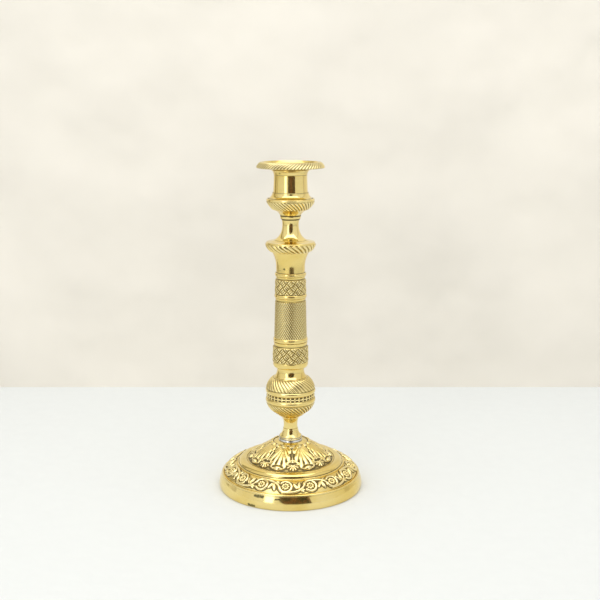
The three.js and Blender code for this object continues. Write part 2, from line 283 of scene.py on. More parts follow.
def between(x, low, high, soft):
    return smooth(x, low - soft, low + soft) * (1 - smooth(x, high - soft, high + soft))


def fade(s, length, reach):
    """1 inside a zone, falling round to 0 at both ends."""
    return np.sqrt(np.clip(s / reach, 0, 1) * np.clip((length - s) / reach, 0, 1))


def flutes(count, twist, height, sharpness, ends):
    """Slanting lobes, count of them round the piece, turning by twist degrees over the zone."""
    def relief(theta, s, length, r):
        turn = math.radians(twist) * s / length
        lobe = np.abs(np.sin(count * (theta + turn) / 2)) ** sharpness
        return height * lobe * fade(s, length, ends)
    return relief


def weave(count, height):
    """Ribbons of three strands, plaited on the slant, count crossings round the piece."""
    def relief(theta, s, length, r):
        across = count * theta / TAU
        up = s * count / (TAU * r.mean())
        a, b = across + up, across - up
        over = (np.floor(a) + np.floor(b)) % 2 == 0
        lengthwise = np.where(over, b % 1, a % 1)
        sideways = np.where(over, a % 1, b % 1)
        crown = np.sin(np.pi * lengthwise) ** 0.6
        strands = np.abs(np.sin(3 * np.pi * sideways)) ** 0.9
        return height * crown * (0.3 + 0.7 * strands) * fade(s, length, 0.4)
    return relief


def diaper(count, steepness, height):
    """Slanting ridges, cut across by narrower grooves that slant the other way."""
    def relief(theta, s, length, r):
        across = count * theta / TAU
        up = s * count / (TAU * r.mean()) / steepness
        first = 1 - np.abs(2 * ((across + up) % 1) - 1)
        second = 1 - np.abs(2 * ((across - up) % 1) - 1)
        ridges = np.minimum(2.0 * first, 1) * (0.5 + 0.5 * np.minimum(3.2 * second, 1))
        return height * ridges * fade(s, length, 0.3)
    return relief


def belt(count, height):
    """Two rows of square pits with a row of beads between them."""
    def relief(theta, s, length, r):
        u = s / length
        f = (count * theta / TAU) % 1
        rows = between(u, 0.06, 0.40, 0.04) + between(u, 0.60, 0.94, 0.04)
        pit = between(f, 0.16, 0.84, 0.09) * rows
        bead = np.abs(np.sin(TAU * f)) ** 0.7 * between(u, 0.42, 0.58, 0.04)
        return height * (0.4 * bead - pit) * fade(s, length, 0.2)
    return relief


def stroke(dx, dy, points, width, height):
    """A half-round line through the points. Width is half its breadth, at its start and its end."""
    raised = np.zeros(np.broadcast(dx, dy).shape)
    for k in range(len(points) - 1):
        (x0, y0), (x1, y1) = points[k], points[k + 1]
        ex, ey = x1 - x0, y1 - y0
        t = np.clip(((dx - x0) * ex + (dy - y0) * ey) / (ex * ex + ey * ey), 0, 1)
        away = np.hypot(dx - x0 - t * ex, dy - y0 - t * ey)
        share = (k + t) / (len(points) - 1)
        half = width[0] + (width[1] - width[0]) * share
        raised = np.maximum(raised, height * np.sqrt(np.clip(1 - (away / half) ** 2, 0, 1)))
    return raised


def leaflet(dx, dy, angle, length, width, height, crease=0.35):
    """A pointed leaf from the origin, lying at that angle, with a crease down its middle."""
    c, s = math.cos(math.radians(angle)), math.sin(math.radians(angle))
    u = (dx * c + dy * s) / length
    v = np.abs(dy * c - dx * s)
    half = width * np.sqrt(np.clip(4 * u * (1 - u), 0, 1)) * (1.15 - 0.5 * u) + 1e-6
    body = np.sqrt(np.clip(1 - (v / half) ** 2, 0, 1)) * (u > 0) * (u < 1)
    return height * body * (1 - crease * np.exp(-(v / (0.22 * width)) ** 2))


def ring_points(radius, start, end, shrink=0.0, steps=26):
    """Points of a scroll that winds from start to end degrees and tightens by shrink."""
    points = []
    for k in range(steps + 1):
        t = k / steps
        angle = math.radians(start + (end - start) * t)
        reach = radius - shrink * t
        points.append((reach * math.cos(angle), reach * math.sin(angle)))
    return points


def bezier_points(corners, steps=14):
    """Points along a cubic curve."""
    points = []
    for k in range(steps + 1):
        t = k / steps
        weights = [(1 - t) ** 3, 3 * t * (1 - t) ** 2, 3 * t * t * (1 - t), t ** 3]
        points.append(tuple(sum(w * c[axis] for w, c in zip(weights, corners)) for axis in (0, 1)))
    return points


ROSETTES = 16
ROSETTE_BEARING = math.radians(-4.5)


def rosette(dx, dy, radius, height):
    """Eight round petals round a small boss."""
    rho = np.hypot(dx, dy)
    petal = np.abs(np.cos(4 * np.arctan2(dy, dx))) ** 0.5
    edge = radius * (0.82 + 0.18 * petal)
    dish = np.sqrt(np.clip(1 - ((rho - 0.66 * edge) / (0.36 * edge)) ** 2, 0, 1))
    boss = np.sqrt(np.clip(1 - (rho / (0.25 * radius)) ** 2, 0, 1))
    return height * np.maximum(dish * (0.45 + 0.55 * petal), 1.1 * boss)


def rinceau(theta, s, length, r):
    """Scrolls that wind up and down in turn, each round a rosette, with forked leaves between."""
    middle = r.mean()
    unit = TAU * middle / ROSETTES
    x = (theta - ROSETTE_BEARING) * middle
    y = s - length / 2
    reach = 0.40 * length
    raised = np.zeros(np.broadcast(theta, s).shape)
    for index, flip in ((0, 1), (1, -1)):
        dx = (x - index * unit + unit) % (2 * unit) - unit + 0 * y
        dy = flip * y + 0 * x
        later = np.where(dx < -0.45 * unit, dx + 2 * unit, dx)
        fork = (0.47 * unit, -0.45 * reach)
        winding = ring_points(reach, 190, 500, shrink=0.08 * reach)
        stem = bezier_points([
            (-0.1 * unit, -1.05 * reach),
            (0.40 * unit, -1.15 * reach),
            (unit - 1.25 * reach, -0.6 * reach),
            (unit - 0.98 * reach, 0.25 * reach),
        ])
        parts = [
            stroke(dx, dy, winding, (1.45, 1.1), 1.25),
            stroke(later, dy, stem, (1.25, 1.0), 1.25),
            rosette(dx, dy, 0.66 * reach, 1.1),
            leaflet(later - fork[0], dy - fork[1], 122, 6.6, 1.5, 1.15),
            leaflet(later - fork[0] - 0.6, dy - fork[1], 74, 7.4, 1.6, 1.3),
            leaflet(later - fork[0] - 1.4, dy - fork[1] - 0.6, -44, 5.4, 1.4, 1.1),
            leaflet(later - fork[0] - 1.8, dy - fork[1] + 0.4, -8, 4.6, 1.2, 1.0),
        ]
        for part in parts:
            raised = np.maximum(raised, part)
    return raised * fade(s, length, 0.4)


LEAVES = 8
LEAF_HALF_SECTOR = 180 / LEAVES
PALMETTE_BEARING = math.radians(3.5)
LEAF_BASE = 0.93         # shares of the dome's slope, from its foot
LEAF_TIP = 0.10
PALMETTE_ROOT = 0.235
APEX = 0.83


def leaf_half_angle(u):
    """Half the breadth of a leaf in degrees, at that share of the slope.

    Leaves touch above the apex.
    """
    shares = [0.02, 0.05, 0.11, 0.20, 0.34, 0.55, APEX]
    breadths = [0.2, 6.5, 11.5, 15.0, 18.5, 20.8, LEAF_HALF_SECTOR]
    return np.interp(u, shares, breadths)


def acanthus(theta, s, length, r):
    """Broad lobed leaves with curled tips, a palmette between each two, and a ring of tongues above."""
    sector = TAU / LEAVES
    bearing = theta - PALMETTE_BEARING
    leaf_x = (bearing % sector - sector / 2) * r
    palm_x = ((bearing + sector / 2) % sector - sector / 2) * r
    y = s + 0 * theta
    raised = acanthus_leaf(leaf_x, y, length, r)
    raised = np.maximum(raised, palmette(palm_x, y, length, r))
    tongue = np.abs(np.cos(LEAVES * bearing)) ** 0.6
    calyx = 1.6 * tongue * between(s / length, 0.875 + 0.05 * (1 - tongue), 0.985, 0.012)
    foot = smooth(s, 0, 0.8)
    return np.maximum(raised, calyx) * foot + 0.35 * smooth(s / length, 0.97, 1.0)


LOBE_EDGES = [0.0, 8.0, 22.0, 42.0, 90.0]      # degrees from the leaf's midrib
LOBE_PITS = ((8.0, 18.0, 2.6), (22.0, 17.0, 2.4), (42.0, 12.0, 1.8))   # edge, distance, length


def acanthus_leaf(x, y, length, r):
    """Lobes that fan out from the leaf's base, cut apart in its lower half, over a curled tip."""
    side = np.abs(x)
    below = LEAF_BASE * length - y
    spread = np.degrees(np.arctan2(side, np.maximum(below, 0.01)))
    away = np.hypot(side, below)
    phase = np.interp(spread, LOBE_EDGES, [0.5, 1, 2, 3, 4])
    lobe = np.abs(np.sin(np.pi * phase)) ** 0.55
    half = np.radians(leaf_half_angle(y / length)) * r
    scalloped = half * (1 - 0.24 * (1 - lobe) * smooth(away, 4, 9))
    share = np.clip(side / scalloped, 0, 1)
    rounded = np.sqrt(np.clip(1 - share ** 5, 0, 1))
    depth = 0.2 * smooth(away, 0.8, 5) + 0.8 * smooth(away, 7, 14)
    body = rounded * (0.95 + 0.6 * lobe * depth - 0.3 * depth)
    tip_share = np.hypot(x / 3.4, (y - LEAF_TIP * length) / 1.9)
    under_curl = np.exp(-((tip_share - 1.35) / 0.28) ** 2) * (y > LEAF_TIP * length)
    body = body * (1 - 0.85 * under_curl)
    for edge, place, size in LOBE_PITS:
        gap = np.radians(spread - edge) * away
        pit = np.exp(-(gap / 0.8) ** 2 - ((away - place) / size) ** 2)
        body = body * (1 - 0.95 * pit)
    tip = np.sqrt(np.clip(1 - tip_share ** 2, 0, 1))
    return np.maximum(np.maximum(body, 0), 1.9 * tip) * (below > -0.5)


def palmette(x, y, length, r):
    """Fingers spread downwards from a root, under two pairs of arms and a stem."""
    raised = np.zeros(x.shape)
    root = PALMETTE_ROOT * length
    for lean, reach in ((0, 5.2), (27, 5.3), (54, 5.4), (82, 5.6)):
        for hand in (1, -1):
            points = palmette_finger(lean, reach, hand)
            raised = np.maximum(raised, stroke(x, y - root, points, (0.35, 0.95), 1.0))
    for rise, reach, drop in ((3.4, 6.6, 1.0), (5.2, 5.2, 0.4)):
        for hand in (1, -1):
            points = palmette_arm(rise, reach, drop, hand)
            raised = np.maximum(raised, stroke(x, y - root, points, (0.5, 0.8), 0.95))
    gap = np.radians(LEAF_HALF_SECTOR - leaf_half_angle(y / length)) * r
    stem = np.clip(1 - (x / np.maximum(0.34 * gap, 0.05)) ** 4, 0, 1)
    stem = stem * (y > root + 2) * (y < APEX * length)
    return np.maximum(raised, 0.85 * np.sqrt(stem))


def palmette_finger(lean, reach, hand):
    """A finger that leans out from the palmette's root and curls up a little at its end."""
    a = math.radians(lean)
    return [
        (hand * reach * math.sin(a) * t, -reach * math.cos(a) * t + 0.014 * lean * t * t)
        for t in (0.15, 0.4, 0.7, 1.0)
    ]


def palmette_arm(rise, reach, drop, hand):
    """An arm that springs from the stem above the root and droops outwards."""
    return bezier_points([
        (0, rise),
        (hand * 0.35 * reach, rise - 0.2),
        (hand * 0.8 * reach, drop + 1.6),
        (hand * reach, drop),
    ])


# ------------------------------------------------------------------ materials

BRASS_PALE = (0.88, 0.71, 0.295)
BRASS_DEEP = (0.80, 0.60, 0.185)
BRASS_WORN = (0.95, 0.83, 0.47)
OLIVE = (0.26, 0.175, 0.04)
# Patina in the hollows; also the colour of a few lines of painted shade.
PATINA_AND_SHADE = (0.06, 0.042, 0.014)
TARNISH = (0.11, 0.10, 0.04)
WHITE_METAL = (0.77, 0.77, 0.75)
WHITE_METAL_DULL = (0.45, 0.46, 0.45)
IRON = (0.30, 0.29, 0.28)
IRON_DARK = (0.12, 0.115, 0.11)
RUST = (0.16, 0.07, 0.03)


# Noise scales, in features per metre.
HUE_SCALE = 28
PATCH_SCALE = 22
SMUDGE_SCALE = 75
SPECK_SCALE = 190
MARK_EDGE_SCALE = 900
GRAIN_SCALE = 2400
TOOL_LINE_SCALE = 2600


class Shader:
    """A material whose nodes are made and linked in one call each."""

    def __init__(self, name):
        self.material = bpy.data.materials.new(name)
        self.material.use_nodes = True
        self.tree = self.material.node_tree
        self.out = self.tree.nodes["Principled BSDF"]

    def node(self, kind, inputs=None, **settings):
        made = self.tree.nodes.new("ShaderNode" + kind)
        for key, value in settings.items():
            setattr(made, key, value)
        for key, value in (inputs or {}).items():
            self.feed(made.inputs[key], value)
        return made

    def feed(self, socket, value):
        if isinstance(value, bpy.types.NodeSocket):
            self.tree.links.new(value, socket)
        elif isinstance(value, tuple) and len(value) == 3 and socket.type == "RGBA":
            socket.default_value = (*value, 1)
        else:
            socket.default_value = value

    def place(self):
        return self.node("TexCoord").outputs["Object"]

    def attribute(self, name):
        return self.node("Attribute", attribute_name=name).outputs["Fac"]

    def noise(self, vector, scale, detail=3.0, roughness=0.55):
        inputs = {"Vector": vector, "Scale": scale, "Detail": detail, "Roughness": roughness}
        return self.node("TexNoise", inputs).outputs["Fac"]

    def math(self, operation, a, b=0.0, clamp=False):
        return self.node("Math", {0: a, 1: b}, operation=operation, use_clamp=clamp).outputs[0]

    def remap(self, value, low, high, to_low=0.0, to_high=1.0):
        inputs = {"Value": value, "From Min": low, "From Max": high, "To Min": to_low, "To Max": to_high}
        return self.node("MapRange", inputs, interpolation_type="SMOOTHSTEP").outputs["Result"]

    def mix(self, factor, a, b):
        made = self.node("Mix", data_type="RGBA")
        self.feed(made.inputs["Factor"], factor)
        self.feed(made.inputs[6], a)
        self.feed(made.inputs[7], b)
        return made.outputs[2]

    def stretched(self, place, by):
        return self.node("VectorMath", {0: place, 1: by}, operation="MULTIPLY").outputs[0]

    def lathe_lines(self, place):
        """Noise that changes with radius and height only, as the turner's tool leaves it."""
        parts = self.node("SeparateXYZ", {"Vector": place}).outputs
        flat = self.node("CombineXYZ", {"X": parts["X"], "Y": parts["Y"]}).outputs[0]
        radius = self.node("VectorMath", {0: flat}, operation="LENGTH").outputs["Value"]
        return self.node("CombineXYZ", {"X": radius, "Y": parts["Z"]}).outputs[0]

    def set(self, **values):
        for key, value in values.items():
            self.feed(self.out.inputs[key.replace("_", " ")], value)
        return self.material

    def marks(self, place, spots, ragged):
        """1 inside each round mark, 0 away from them all."""
        inside = 0.0
        for centre, size in spots:
            away = self.node("VectorMath", {0: place, 1: centre}, operation="DISTANCE").outputs["Value"]
            share = self.math("ADD", self.math("DIVIDE", away, size), ragged)
            inside = self.math("MAXIMUM", inside, self.remap(share, 1.0, 0.6))
        return inside

    def bump(self, height, distance, strength=1.0):
        return self.node("Bump", {"Height": height, "Distance": distance, "Strength": strength}).outputs[0]


def brass(name, roughness, residue_and_shade, deepening=0.0, shade=0.0, spots=()):
    """Old brass: bright where it is rubbed, brown-black where the polish can't reach and along a few lines
    of painted shade.

    The third argument sets how dark the hollows and the painted shade get, deepening how much of it
    takes the deeper gold, and shade how much olive film lies over it all.
    """
    sh = Shader(name)
    place = sh.place()
    wear_and_shade = sh.attribute("wear_and_shade")
    broad = sh.noise(place, HUE_SCALE, 4)
    fine = sh.noise(place, GRAIN_SCALE, 3)
    lines = sh.noise(sh.lathe_lines(place), TOOL_LINE_SCALE, 2)

    tint = sh.math("ADD", sh.remap(broad, 0.35, 0.68), deepening, clamp=True)
    body = sh.mix(tint, BRASS_PALE, BRASS_DEEP)
    body = sh.mix(shade, body, OLIVE)
    body = sh.mix(sh.remap(wear_and_shade, 0.1, 0.9, 0, 0.8), body, BRASS_WORN)
    ragged = sh.math("ADD", wear_and_shade, sh.remap(fine, 0.2, 0.8, -0.12, 0.12))
    dirt_and_shade = sh.remap(ragged, -0.08, -0.7, 0, residue_and_shade)
    # Darkened towards patina in hollows and joints, and along the lines of painted shade.
    body = sh.mix(dirt_and_shade, body, PATINA_AND_SHADE)
    specks = sh.remap(sh.noise(place, SPECK_SCALE, 2), 0.735, 0.775)
    patches = sh.remap(sh.noise(place, PATCH_SCALE, 2), 0.55, 0.66)
    stain = sh.math("MULTIPLY", specks, patches)
    body = sh.mix(sh.math("MULTIPLY", stain, 0.8), body, TARNISH)
    ragged_edge = sh.remap(sh.noise(place, MARK_EDGE_SCALE, 2), 0.3, 0.7, -0.3, 0.3)
    pitted = sh.marks(place, spots, ragged_edge)
    body = sh.mix(sh.math("MULTIPLY", pitted, 0.9), body, TARNISH)

    smudge = sh.remap(sh.noise(place, SMUDGE_SCALE, 5), 0.3, 0.75, 0, 0.09)
    dull = sh.math("MULTIPLY", dirt_and_shade, 0.35)
    gloss = sh.math("ADD", sh.math("ADD", smudge, roughness), dull, clamp=True)
    relief = sh.math("ADD", sh.math("MULTIPLY", lines, 0.6), sh.math("MULTIPLY", fine, 0.3))
    return sh.set(
        Base_Color=body,
        Metallic=sh.math("SUBTRACT", 1.0, dull),
        Roughness=gloss,
        Normal=sh.bump(relief, 0.00002, 0.5),
    )


def white_metal():
    sh = Shader("white_metal")
    place = sh.place()
    smudge = sh.noise(place, 140, 4)
    dirt_and_shade = sh.remap(sh.attribute("wear_and_shade"), -0.15, -0.9)
    body = sh.mix(sh.remap(smudge, 0.4, 0.75, 0, 0.5), WHITE_METAL, WHITE_METAL_DULL)
    body = sh.mix(dirt_and_shade, body, PATINA_AND_SHADE)
    lines = sh.noise(sh.lathe_lines(place), 3000, 2)
    return sh.set(
        Base_Color=body,
        Metallic=1.0,
        Roughness=sh.remap(smudge, 0.3, 0.8, 0.12, 0.26),
        Normal=sh.bump(lines, 0.00002, 0.4),
    )


def iron():
    sh = Shader("iron")
    place = sh.place()
    scale = sh.noise(place, 260, 5)
    rust = sh.remap(sh.noise(place, 90, 4), 0.5, 0.66)
    body = sh.mix(rust, sh.mix(scale, IRON, IRON_DARK), RUST)
    return sh.set(
        Base_Color=body,
        Metallic=sh.math("SUBTRACT", 1.0, sh.math("MULTIPLY", rust, 0.8)),
        Roughness=sh.remap(scale, 0.3, 0.7, 0.38, 0.6),
        Normal=sh.bump(scale, 0.0002, 0.6),
    )


BASE_LOW, BASE_HEIGHT, BASE_RADIUS = measure("base_shell")


def mark(bearing, radius, height, size):
    """A small mark on the brass: where it is, from its bearing in degrees, and its radius, in metres."""
    a = math.radians(bearing)
    return (radius * math.sin(a) * MM, -radius * math.cos(a) * MM, height * MM), size * MM


def streak(first, last, radius, height, size):
    """Marks side by side from one bearing to another."""
    count = math.ceil(math.radians(last - first) * radius / size)
    return [mark(first + (last - first) * k / count, radius, height, size) for k in range(count + 1)]


def old_marks():
    """A few pits in the stem, and green-brown streaks near both edges of the plinth."""
    capital_low = measure("capital")[0]
    socket_low, socket_height, _ = measure("socket_barrel")
    pits = [
        mark(-38, 15.3, socket_low + socket_height - 2.6, 1.0),
        mark(-26, 12.9, capital_low + 7.3, 1.2),
        mark(-27, 12.8, capital_low + 1.6, 0.8),
        mark(-47, 12.9, capital_low + 6.0, 0.6),
    ]
    upper_edge = BASE_RADIUS - 1.6
    in_front = [
        *streak(-29, -22, upper_edge, 10.9, 1.5),
        *streak(-12, -9, upper_edge, 9.8, 0.9),
        *streak(-34, -29, BASE_RADIUS, 1.9, 1.4),
    ]
    behind = [
        *streak(128, 134, upper_edge, 10.2, 1.3),
        *streak(161, 164, BASE_RADIUS, 3.0, 1.0),
    ]
    return pits + in_front + behind


POLISHED = brass("polished_brass", roughness=0.09, residue_and_shade=0.93, spots=old_marks())
CHASED = brass("chased_brass", roughness=0.17, residue_and_shade=0.9, deepening=0.1)
WOVEN = brass("woven_brass", roughness=0.22, residue_and_shade=0.88, deepening=0.35, shade=0.18)
HATCHED = brass("hatched_brass", roughness=0.13, residue_and_shade=0.8, deepening=0.7, shade=0.36)
WHITE = white_metal()
STEEL = iron()

# ------------------------------------------------------------------ the base
#
# Each piece's heights are measured from the underside of its own CAD node.

# Radii in millimetres, shared by neighbouring pieces.
ROD_HOLE = 3.4
STEM_CORE = 4.0
COLUMN_BORE = 10.4
SOCKET_BORE = 12.4
SHELL_INSIDE = 60.6
COLLAR_SEAM = (1.1, 0.55)     # strength and reach of the broad dark seams at the collar


def build_base():
    build_plinth()
    build_frieze()
    build_moulding()
    build_leaf_dome()


def build_plinth():
    foot = BASE_RADIUS - 0.9
    rim = BASE_RADIUS - 3.6
    plinth = Path(foot, 0, above=BASE_LOW).curve((BASE_RADIUS, 0.6), (BASE_RADIUS, 3.6))
    plinth.curve((BASE_RADIUS - 0.3, 8.0), (BASE_RADIUS - 2.4, 12.2))
    plinth.curve((BASE_RADIUS - 2.4, 13.5), (rim, 13.5)).curve((rim - 0.9, 13.5), (rim - 1.0, 12.8))
    plinth.into(INNER).line((59.2, 11.8), (SHELL_INSIDE, 10.5), (SHELL_INSIDE, 0), (foot, 0))
    turned("base_plinth", plinth, [POLISHED], "base_shell", columns=320)


def build_frieze():
    frieze = Path(60.4, 12.6, above=BASE_LOW).line((60.2, 14.0))
    frieze.into("rinceau").curve((55.6, 19.5), (49.0, 21.5))
    frieze.into(PLAIN).line((48.7, 21.2), (48.3, 21.2), (47.6, 20.0))
    frieze.into(INNER).line((46, 20.0), (52, 17.3), (59, 11.9))
    reliefs = {"rinceau": Chasing(rinceau, reach=0.9, strength=1.3, ground=0.12)}
    turned("base_frieze", frieze, [POLISHED, CHASED], "base_shell", columns=1152, reliefs=reliefs,
           slot="chased_brass")


def build_moulding():
    # The dark line where the moulding rises from the frieze is painted shade under the torus.
    band = Path(48.5, 20.4, above=BASE_LOW).line((48.5, 21.7)).seam(0.4)
    band.curve((48.5, 22.6), (47.7, 22.7)).line((47.0, 22.6))
    band.curve((46.6, 25.2), (43.6, 25.9)).curve((41.4, 26.4), (40.3, 25.8))
    band.line((39.8, 25.4)).seam(0.5)
    band.into(INNER).line((38.4, 22.9), (46, 20.0))
    turned("base_moulding", band, [POLISHED], "base_shell", columns=320)


def build_leaf_dome():
    dome = Path(39.6, 24.4, above=BASE_LOW).line((39.4, 25.2)).curve((38.6, 25.0), (38.0, 25.3))
    dome.into("leaves").cubic((33, 29.8), (22.4, 37.2), (15.0, 40.9))
    dome.into(PLAIN).curve((13.6, 41.7), (12.2, BASE_HEIGHT)).line((ROD_HOLE, BASE_HEIGHT))
    dome.into(INNER).line((ROD_HOLE, 38), (11, 38)).cubic((20, 35.5), (30.5, 28.5), (36.5, 22.8))
    reliefs = {"leaves": Chasing(acanthus, reach=1.1, strength=1.5, ground=0.4)}
    turned("base_leaf_dome", dome, [POLISHED, CHASED], "base_shell", columns=880, reliefs=reliefs,
           slot="chased_brass")


# ------------------------------------------------------------------ the stem

def build_foot():
    low, height, radius = measure("foot_washer")
    washer = Path(ROD_HOLE, 0, above=low).line((radius - 0.2, 0)).seam(0.7).line((radius, 0.3))
    washer.curve((radius - 1.2, height / 2), (radius, height - 0.3))
    washer.line((radius - 0.2, height)).seam(0.5).line((ROD_HOLE, height))
    turned("white_washer", washer, [WHITE], "foot_washer", slot="white_metal")

    low, height, radius = measure("stem_foot")
    foot = Path(ROD_HOLE, 0.02, above=low).line((radius - 0.1, 0.02), (radius, 0.9))
    foot.curve((7.0, 3.0), (6.7, height - 0.15)).line((6.6, height)).seam(0.4)
    foot.line((ROD_HOLE, height))
    turned("flared_foot", foot, [POLISHED], "stem_foot")

    low, height, radius = measure("foot_spool")
    spool = Path(ROD_HOLE, 0, above=low).line((6.3, 0)).seam(0.4).line((6.4, 0.2))
    spool.curve((6.1, 1.6), (6.2, 4)).curve((6.4, height - 3), (radius, height))
    spool.line((ROD_HOLE, height))
    turned("lower_spool", spool, [POLISHED], "foot_spool")


def build_ball():
    low, height, radius = measure("ball_knop")
    side = radius - 0.6
    ball = Path(STEM_CORE, 0, above=low).line((8.2, 0)).curve((12.4, 2.0), (15.4, 5.3))
    ball.line((15.9, 5.5), (16.2, 6.1))
    ball.into("lower").curve((20.2, 9.5), (side - 0.2, 14.0))
    ball.into(PLAIN).line((side - 0.1, 14.6)).curve((radius + 0.1, 15.1), (radius, 16.2))
    ball.curve((radius, 17.7), (side, 18.0)).line((side - 0.3, 18.4))
    ball.into("belt").line((side - 0.3, 23.0))
    ball.into(PLAIN).line((side, 23.3)).curve((radius, 23.6), (radius, 25.1))
    ball.curve((radius + 0.1, 26.3), (side - 0.1, 26.8)).line((side - 0.2, 27.2))
    ball.into("upper").curve((20.4, 33.5), (15.6, 36.7))
    ball.into(PLAIN).line((15.2, 36.9)).curve((15.2, height), (14.5, height)).seam(0.4)
    ball.line((STEM_CORE, height))
    ball.into(INNER).line((STEM_CORE, 34.5), (14.0, 32.5), (19.2, 25.5), (19.2, 15.5), (14, 8))
    ball.line((7, 4), (STEM_CORE, 3.5))
    reliefs = {
        "lower": Chasing(flutes(37, twist=26, height=0.5, sharpness=1.2, ends=0.8), 0.9, 0.7),
        "belt": Chasing(belt(34, height=0.6), 0.8, 0.8),
        "upper": Chasing(flutes(37, twist=28, height=0.5, sharpness=1.2, ends=0.8), 0.9, 0.6),
    }
    turned("knop_ball", ball, [POLISHED, CHASED], "ball_knop", columns=576, reliefs=reliefs,
           slot="chased_brass")

    low, height, radius = measure("knop_neck")
    neck = Path(STEM_CORE, 0, above=low).line((radius - 0.1, 0)).seam(0.4).line((radius, 0.3))
    neck.curve((12.7, 2.0), (12.2, 4.8)).curve((11.9, 7.2), (12.3, height - 0.1))
    neck.line((11.8, height)).seam(0.3).line((STEM_CORE, height))
    turned("knop_cove", neck, [POLISHED], "knop_neck")


def half_round(path, radius, bottom, top, bulge=0.85):
    """Adds a half-round ring that stands out from that radius."""
    middle = (bottom + top) / 2
    path.line((radius, bottom)).curve((radius + bulge, bottom + 0.2), (radius + bulge, middle))
    return path.curve((radius + bulge, top - 0.2), (radius, top))


def build_column():
    low, height, radius = measure("column")
    foot_top = 27.9
    barrel_top = 64.0

    foot = Path(COLUMN_BORE, 0, above=low).line((11.6, 0)).seam(0.3).line((11.9, 0.1))
    foot.curve((radius, 0.1), (radius, 4.0)).line((radius, 5.2)).curve((radius, 5.9), (15.5, 5.9))
    foot.into("weave").line((15.1, 20.1))
    foot.into(PLAIN).line((14.7, 20.4), (15.15, 23.7), (14.6, 24.0))
    half_round(foot, 14.5, 24.1, foot_top - 0.1).line((14.3, foot_top))
    foot.into(INNER).line((COLUMN_BORE, foot_top), (COLUMN_BORE, 6), (8, 3), (8, 0))
    turned("column_foot", foot, [POLISHED, WOVEN], "column", columns=630,
           reliefs={"weave": Chasing(weave(14, height=0.7), 0.8, 1.2)}, slot="chased_brass")

    barrel = Path(COLUMN_BORE, foot_top - 0.2, above=low).line((14.35, foot_top - 0.2))
    barrel.into("hatching").line((13.45, 61.1))
    barrel.into(PLAIN).line((13.2, 61.4), (13.7, 63.6), (12.8, barrel_top - 0.1))
    barrel.into(INNER).line((COLUMN_BORE, barrel_top))
    hatching = diaper(44, steepness=1.6, height=0.22)
    turned("column_barrel", barrel, [POLISHED, HATCHED], "column", columns=480,
           reliefs={"hatching": Chasing(hatching, 0.6, 1.2)}, slot="chased_brass")

    ring = barrel_top - 0.2
    top = Path(COLUMN_BORE, ring, above=low).line((13.4, ring))
    half_round(top, 13.5, ring, 67.1).line((13.35, 67.2))
    top.into("weave").line((12.95, 80.4))
    top.into(PLAIN).line((12.6, 80.6), (13.1, 82.8), (12.8, 83.1))
    half_round(top, 13.0, 83.1, 86.2).line((12.9, height)).seam(0.8)
    top.into(INNER).line((8, height), (8, height - 3), (COLUMN_BORE, height - 6))
    turned("column_top", top, [POLISHED, WOVEN], "column", columns=576,
           reliefs={"weave": Chasing(weave(12, height=0.7), 0.8, 1.2)}, slot="chased_brass")


def build_capital():
    low, height, radius = measure("capital")
    capital = Path(STEM_CORE, 0, above=low).line((12.5, 0)).seam(0.8).line((12.7, 0.3), (12.75, 9))
    capital.curve((12.9, 15), (radius - 0.2, height)).line((STEM_CORE, height))
    turned("capital_bell", capital, [POLISHED], "capital")

    low, height, radius = measure("capital_flange")
    flange = Path(STEM_CORE, 0, above=low).line((16.4, 0))
    flange.into("gadroons").curve((21.0, 2.4), (radius - 0.2, 7.2))
    flange.into(PLAIN).curve((21.6, 8.6), (20.2, 8.7))
    flange.cubic((18.4, 8.7), (16.6, 9.2), (14.9, height)).seam(0.3).line((STEM_CORE, height))
    gadroons = flutes(28, twist=26, height=0.8, sharpness=0.9, ends=0.7)
    turned("gadroon_flange", flange, [POLISHED, CHASED], "capital_flange", columns=560,
           reliefs={"gadroons": Chasing(gadroons, 1.0, 0.65)}, slot="chased_brass")

    low, height, radius = measure("neck_spool")
    spool = Path(STEM_CORE, 0, above=low).line((radius - 0.1, 0)).seam(0.3).line((radius, 0.2))
    spool.curve((7.3, 4.0), (7.2, 13.3)).curve((7.2, 16.3), (7.9, height - 0.2))
    spool.line((7.7, height)).seam(*COLLAR_SEAM).line((STEM_CORE, height))
    turned("upper_spool", spool, [POLISHED], "neck_spool")


# ------------------------------------------------------------------ the socket

